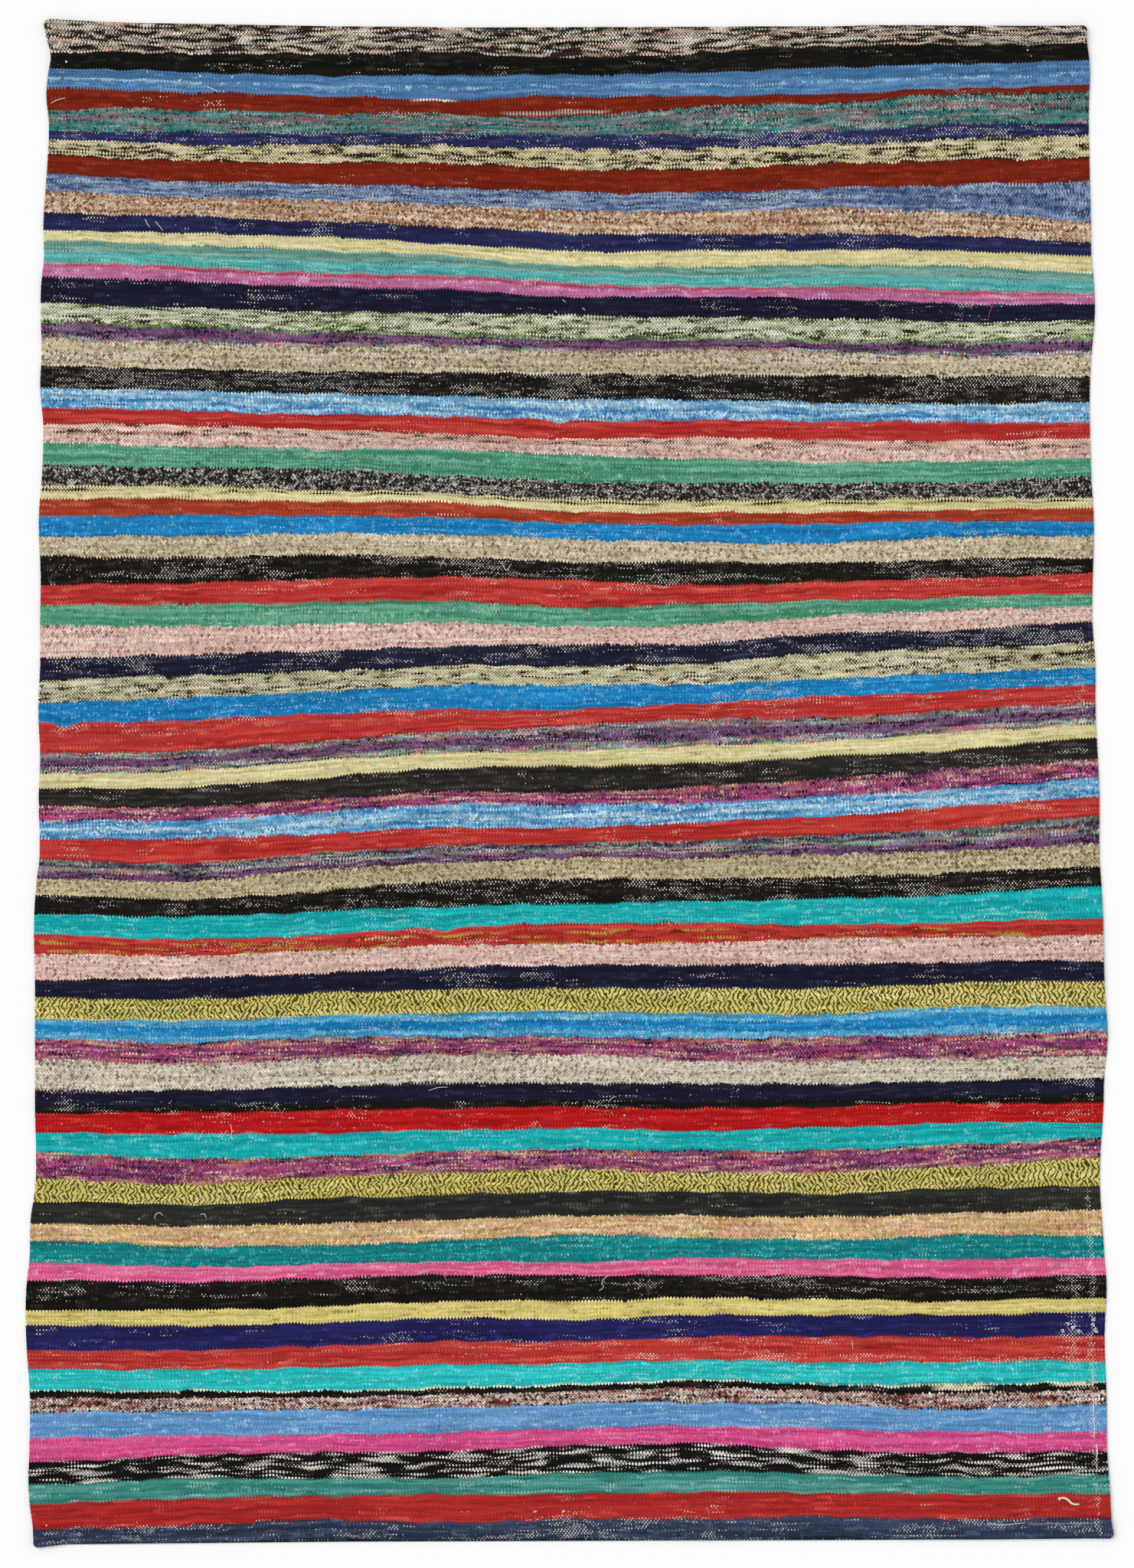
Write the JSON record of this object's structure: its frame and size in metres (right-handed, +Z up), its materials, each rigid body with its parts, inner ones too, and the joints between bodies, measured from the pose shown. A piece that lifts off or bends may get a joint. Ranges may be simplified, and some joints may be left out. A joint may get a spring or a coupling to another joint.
{
  "type": "rag rug",
  "caption": "Long flat-woven rag rug in many uneven coloured cross stripes, with plain selvedges and turned-under ends, for lying on a floor.",
  "frame": {"origin": "on the surface that the rug lies on, under the middle of its outline", "axes": "+X across the rug along its wefts and stripes, +Y along its warps towards the far end, the straighter tweed-striped one, +Z up out of its face"},
  "size_m": [2.1312, 2.994, 0.004],
  "materials": {
    "rag_weave": "weft-faced plain weave of dyed cotton rag strips over cotton warps, matt, ribbed along the warps, worn in places"
  },
  "bodies": {
    "root": {"rug": "rag_weave"}
  },
  "joints": []
}
